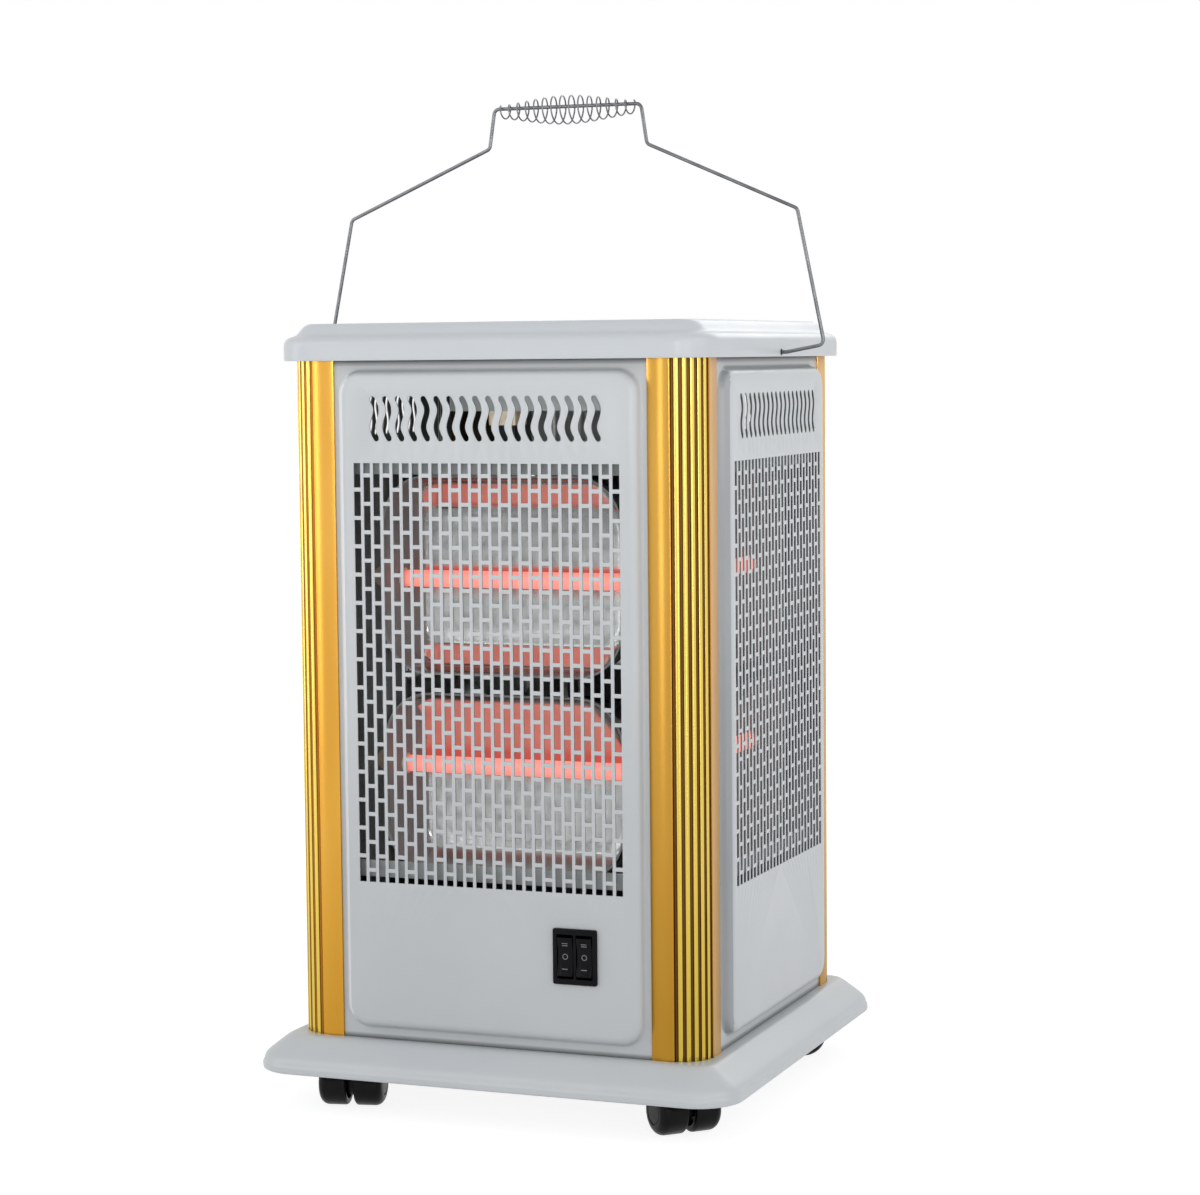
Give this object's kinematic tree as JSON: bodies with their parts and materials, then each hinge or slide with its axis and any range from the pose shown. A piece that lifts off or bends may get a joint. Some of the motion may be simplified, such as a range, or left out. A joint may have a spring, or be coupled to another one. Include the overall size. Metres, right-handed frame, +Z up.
{
  "type": "quartz heater",
  "caption": "Free-standing four-sided quartz heater: perforated enamel panels, gold corner posts, twin rocker switch, swivel casters and a wire bail with a coiled grip.",
  "frame": {"origin": "on the floor under the centre of the body, where the casters stand", "axes": "+Z up, front panel with the switch faces -Y, +X to the right seen from the front"},
  "size_m": [0.361, 0.3344, 0.6703],
  "materials": {
    "white_enamel": "semi-gloss",
    "gold_anodised": "satin",
    "mirror_steel": "polished",
    "zinc_steel": "satin",
    "wire_steel": "polished",
    "quartz": "frosted",
    "filament": "glowing",
    "ceramic": "matt",
    "lead_white": "satin",
    "black_plastic": "satin",
    "black_gloss": "gloss",
    "wheel_plastic": "satin"
  },
  "bodies": {
    "heater": {"base_tray": "white_enamel", "lid": "white_enamel", "lower_shelf": "zinc_steel", "upper_shelf": "zinc_steel", "post_front_left": "gold_anodised", "post_front_right": "gold_anodised", "post_back_right": "gold_anodised", "post_back_left": "gold_anodised", "panel_front": "white_enamel", "panel_right": "white_enamel", "panel_back": "white_enamel", "panel_left": "white_enamel", "reflector_front_lower": "mirror_steel", "reflector_front_upper": "mirror_steel", "reflector_right_lower": "mirror_steel", "reflector_right_upper": "mirror_steel", "reflector_back_lower": "mirror_steel", "reflector_back_upper": "mirror_steel", "reflector_left_lower": "mirror_steel", "reflector_left_upper": "mirror_steel", "brackets_front": "zinc_steel", "brackets_right": "zinc_steel", "brackets_back": "zinc_steel", "brackets_left": "zinc_steel", "tubes_front": "quartz", "tubes_right": "quartz", "tubes_back": "quartz", "tubes_left": "quartz", "filaments": "filament", "ceramic_caps": "ceramic", "terminal_box": "zinc_steel", "terminal_block": "ceramic", "wiring": "lead_white", "tip_over_switch": "black_plastic", "switch_housing": "black_gloss", "cord_gland": "black_plastic", "lid_screws": "zinc_steel", "base_screws": "zinc_steel", "leg_screws": "zinc_steel", "caster_sockets": "black_plastic"},
    "caster_front_left": {"caster_front_left": "black_plastic", "axle_front_left": "zinc_steel"},
    "wheel_front_left_a": {"wheel_front_left_a": "wheel_plastic"},
    "wheel_front_left_b": {"wheel_front_left_b": "wheel_plastic"},
    "caster_front_right": {"caster_front_right": "black_plastic", "axle_front_right": "zinc_steel"},
    "wheel_front_right_a": {"wheel_front_right_a": "wheel_plastic"},
    "wheel_front_right_b": {"wheel_front_right_b": "wheel_plastic"},
    "caster_back_right": {"caster_back_right": "black_plastic", "axle_back_right": "zinc_steel"},
    "wheel_back_right_a": {"wheel_back_right_a": "wheel_plastic"},
    "wheel_back_right_b": {"wheel_back_right_b": "wheel_plastic"},
    "caster_back_left": {"caster_back_left": "black_plastic", "axle_back_left": "zinc_steel"},
    "wheel_back_left_a": {"wheel_back_left_a": "wheel_plastic"},
    "wheel_back_left_b": {"wheel_back_left_b": "wheel_plastic"},
    "bail": {"bail": "wire_steel", "grip_coil": "wire_steel"},
    "rocker_left": {"rocker_left": "black_gloss"},
    "rocker_right": {"rocker_right": "black_gloss"}
  },
  "joints": [
    {"name": "swivel_front_left", "type": "hinge", "parent": "heater", "child": "caster_front_left", "pos_m": [-0.113, -0.113, 0.042], "axis": [0, 0, 1], "continuous": true},
    {"name": "roll_front_left_a", "type": "hinge", "parent": "caster_front_left", "child": "wheel_front_left_a", "pos_m": [-0.1103, -0.12469, 0.0155], "axis": [0.9744, 0.225, 0], "continuous": true},
    {"name": "roll_front_left_b", "type": "hinge", "parent": "caster_front_left", "child": "wheel_front_left_b", "pos_m": [-0.1103, -0.12469, 0.0155], "axis": [0.9744, 0.225, 0], "continuous": true},
    {"name": "swivel_front_right", "type": "hinge", "parent": "heater", "child": "caster_front_right", "pos_m": [0.113, -0.113, 0.042], "axis": [0, 0, 1], "continuous": true},
    {"name": "roll_front_right_a", "type": "hinge", "parent": "caster_front_right", "child": "wheel_front_right_a", "pos_m": [0.12148, -0.12148, 0.0155], "axis": [0.7071, 0.7071, 0], "continuous": true},
    {"name": "roll_front_right_b", "type": "hinge", "parent": "caster_front_right", "child": "wheel_front_right_b", "pos_m": [0.12148, -0.12148, 0.0155], "axis": [0.7071, 0.7071, 0], "continuous": true},
    {"name": "swivel_back_right", "type": "hinge", "parent": "heater", "child": "caster_back_right", "pos_m": [0.113, 0.113, 0.042], "axis": [0, 0, 1], "continuous": true},
    {"name": "roll_back_right_a", "type": "hinge", "parent": "caster_back_right", "child": "wheel_back_right_a", "pos_m": [0.12339, 0.119, 0.0155], "axis": [-0.5, 0.866, 0], "continuous": true},
    {"name": "roll_back_right_b", "type": "hinge", "parent": "caster_back_right", "child": "wheel_back_right_b", "pos_m": [0.12339, 0.119, 0.0155], "axis": [-0.5, 0.866, 0], "continuous": true},
    {"name": "swivel_back_left", "type": "hinge", "parent": "heater", "child": "caster_back_left", "pos_m": [-0.113, 0.113, 0.042], "axis": [0, 0, 1], "continuous": true},
    {"name": "roll_back_left_a", "type": "hinge", "parent": "caster_back_left", "child": "wheel_back_left_a", "pos_m": [-0.12071, 0.10381, 0.0155], "axis": [0.766, -0.6428, 0], "continuous": true},
    {"name": "roll_back_left_b", "type": "hinge", "parent": "caster_back_left", "child": "wheel_back_left_b", "pos_m": [-0.12071, 0.10381, 0.0155], "axis": [0.766, -0.6428, 0], "continuous": true},
    {"name": "bail_swing", "type": "hinge", "parent": "heater", "child": "bail", "pos_m": [0, 0, 0.4963], "axis": [1, 0, 0], "range_deg": [-77, 77]},
    {"name": "rock_left", "type": "hinge", "parent": "heater", "child": "rocker_left", "pos_m": [0.0525, -0.1461, 0.1145], "axis": [1, 0, 0], "range_deg": [-12, 12]},
    {"name": "rock_right", "type": "hinge", "parent": "heater", "child": "rocker_right", "pos_m": [0.0655, -0.1461, 0.1145], "axis": [1, 0, 0], "range_deg": [-12, 12]}
  ]
}
